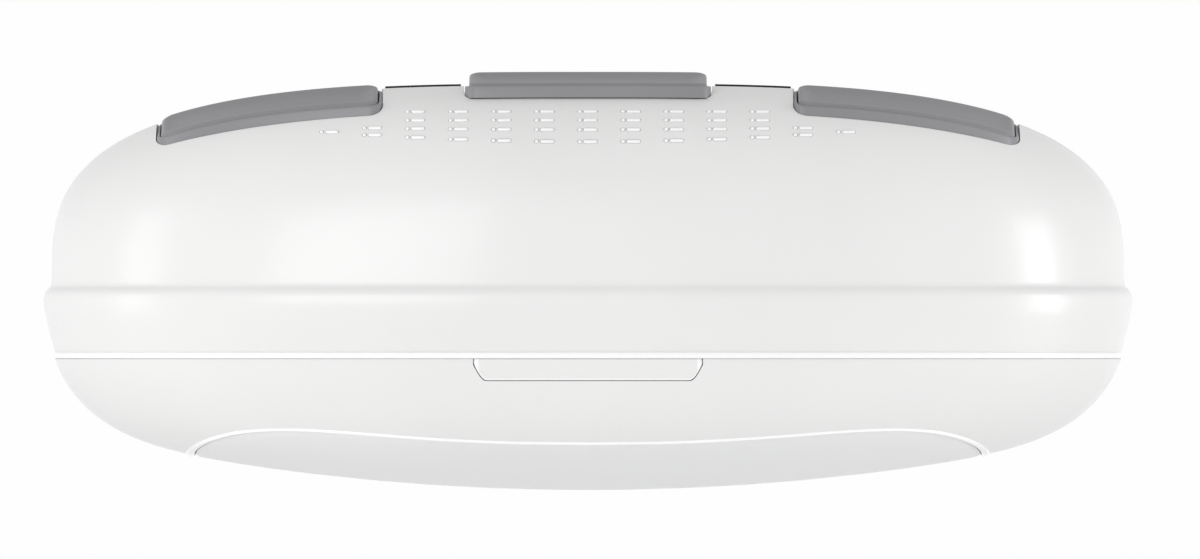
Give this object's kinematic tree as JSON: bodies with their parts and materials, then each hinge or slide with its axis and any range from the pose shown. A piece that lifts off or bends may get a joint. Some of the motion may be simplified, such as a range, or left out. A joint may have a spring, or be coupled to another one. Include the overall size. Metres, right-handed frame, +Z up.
{
  "type": "garage door opener",
  "caption": "Ceiling-hung garage door opener powerhead: white pod housing with crest push buttons, top rail dock, worm drive and a hinged lower cover with a light lens.",
  "frame": {"origin": "centre of the rail seat, the floor of the dock on top that the rail's end lies on", "axes": "+X along the width, to the right seen from the front; the front with the buttons and the finger latch looks towards -Y; +Z up, out of the rail seat"},
  "size_m": [0.4206, 0.2739, 0.1605],
  "materials": {
    "white_shell": "moulded white ABS, satin gloss",
    "lamp_white": "white enamel on sheet steel",
    "milky_lens": "milky diffusing acrylic",
    "button_grey": "fine-grained mid grey ABS",
    "black_rubber": "matt black TPE",
    "black_deck": "textured black ABS",
    "black_steel": "black powder coat",
    "zinc_steel": "zinc-plated steel",
    "cast_aluminium": "die-cast, unpainted",
    "copper_winding": "enamelled copper winding",
    "bronze_gear": "machined bronze",
    "board_green": "solder mask",
    "part_black": "black engineering plastic",
    "terminal_green": "green polyamide",
    "learn_yellow": "amber push button"
  },
  "bodies": {
    "powerhead": {"upper_housing": "white_shell", "vent_baffle": "white_shell", "latch_striker": "white_shell", "hinge_bracket_left": "white_shell", "hinge_bracket_right": "white_shell", "lamp_tray": "lamp_white", "led_board_front": "lamp_white", "led_board_rear": "lamp_white", "button_bezel_left": "button_grey", "button_bezel_centre": "button_grey", "button_bezel_right": "button_grey", "crest_seal_left": "black_rubber", "crest_seal_right": "black_rubber", "motor_mount": "black_rubber", "top_deck": "black_deck", "chassis": "black_steel", "rail_dock": "zinc_steel", "dock_bolt_1": "zinc_steel", "dock_bolt_2": "zinc_steel", "dock_bolt_3": "zinc_steel", "dock_bolt_4": "zinc_steel", "upper_bearing": "zinc_steel", "lower_bearing": "zinc_steel", "motor_can": "zinc_steel", "transformer_clamp": "zinc_steel", "base_frame": "zinc_steel", "hinge_pin_left": "zinc_steel", "hinge_pin_right": "zinc_steel", "gearbox_housing": "cast_aluminium", "gearbox_cover": "cast_aluminium", "transformer": "copper_winding", "logic_board": "board_green", "button_switch_left": "part_black", "button_switch_centre": "part_black", "button_switch_right": "part_black", "motor_end_cap": "part_black", "encoder_sensor": "part_black", "relay_1": "part_black", "relay_2": "part_black", "capacitor": "part_black", "mains_inlet": "part_black", "terminal_block": "terminal_green"},
    "cover": {"lower_cover": "white_shell", "light_lens": "milky_lens", "latch_bearer_left": "white_shell", "latch_bearer_right": "white_shell", "latch_pin": "zinc_steel"},
    "latch": {"latch_paddle": "white_shell"},
    "button_left": {"button_cap_left": "button_grey"},
    "button_centre": {"button_cap_centre": "button_grey"},
    "button_right": {"button_cap_right": "button_grey"},
    "learn": {"learn_button": "learn_yellow"},
    "motor": {"motor_rotor": "copper_winding", "worm_shaft": "zinc_steel", "encoder_disc": "part_black"},
    "output": {"output_shaft": "zinc_steel", "worm_wheel": "bronze_gear", "drive_sprocket": "zinc_steel", "shaft_clip": "part_black"}
  },
  "joints": [
    {"name": "cover_hinge", "type": "hinge", "parent": "powerhead", "child": "cover", "pos_m": [0, 0.1355, -0.0993], "axis": [1, 0, 0], "range_deg": [0, 78]},
    {"name": "latch_hinge", "type": "hinge", "parent": "cover", "child": "latch", "pos_m": [0, -0.1265, -0.1023], "axis": [-1, 0, 0], "range_deg": [0, 14], "stiffness_Nm_per_rad": 0.06, "springref_deg": -8.59},
    {"name": "button_left_press", "type": "slide", "parent": "powerhead", "child": "button_left", "axis": [0, 0, -1], "range_m": [0, 0.0025], "stiffness_N_per_m": 400, "springref_m": -0.001},
    {"name": "button_centre_press", "type": "slide", "parent": "powerhead", "child": "button_centre", "axis": [0, 0, -1], "range_m": [0, 0.0025], "stiffness_N_per_m": 400, "springref_m": -0.001},
    {"name": "button_right_press", "type": "slide", "parent": "powerhead", "child": "button_right", "axis": [0, 0, -1], "range_m": [0, 0.0025], "stiffness_N_per_m": 400, "springref_m": -0.001},
    {"name": "learn_press", "type": "slide", "parent": "powerhead", "child": "learn", "axis": [0, -1, 0], "range_m": [0, 0.0012], "stiffness_N_per_m": 500, "springref_m": -0.0006},
    {"name": "motor_spin", "type": "hinge", "parent": "powerhead", "child": "motor", "pos_m": [0, -0.0005, -0.0353], "axis": [1, 0, 0], "continuous": true},
    {"name": "output_spin", "type": "hinge", "parent": "powerhead", "child": "output", "pos_m": [0, -0.026, 0], "axis": [0, 0, 1], "continuous": true}
  ],
  "couplings": [
    {"joint": "output_spin", "follows": "motor_spin", "ratio": 0.055556}
  ]
}
